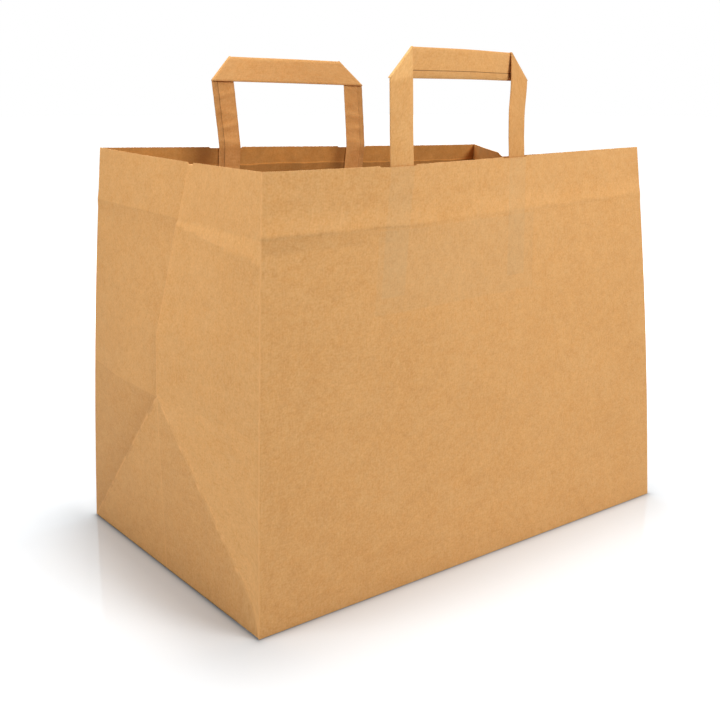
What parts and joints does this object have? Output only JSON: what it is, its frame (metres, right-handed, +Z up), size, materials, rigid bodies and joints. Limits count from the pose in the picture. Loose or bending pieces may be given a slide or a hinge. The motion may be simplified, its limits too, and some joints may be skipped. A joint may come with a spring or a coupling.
{
  "type": "paper carrier bag",
  "caption": "Wide open block-bottom bag of brown kraft paper with side gussets and two flat folded-paper handles glued inside its long panels.",
  "frame": {"origin": "middle of the rectangle that the bag stands on, on the surface that it stands on", "axes": "+Z up out of the mouth, +X along the long panels to the right seen from the front, the front panel faces -Y"},
  "size_m": [0.3298, 0.2137, 0.3002],
  "materials": {
    "bag_paper": "uncoated brown kraft, matt, fine fibres",
    "handle_paper": "uncoated brown kraft tape, matt",
    "patch_paper": "uncoated brown kraft, matt"
  },
  "bodies": {
    "root": {"bag_body": "bag_paper", "front_handle": "handle_paper", "rear_handle": "handle_paper", "front_handle_patch": "patch_paper", "rear_handle_patch": "patch_paper"}
  },
  "joints": []
}
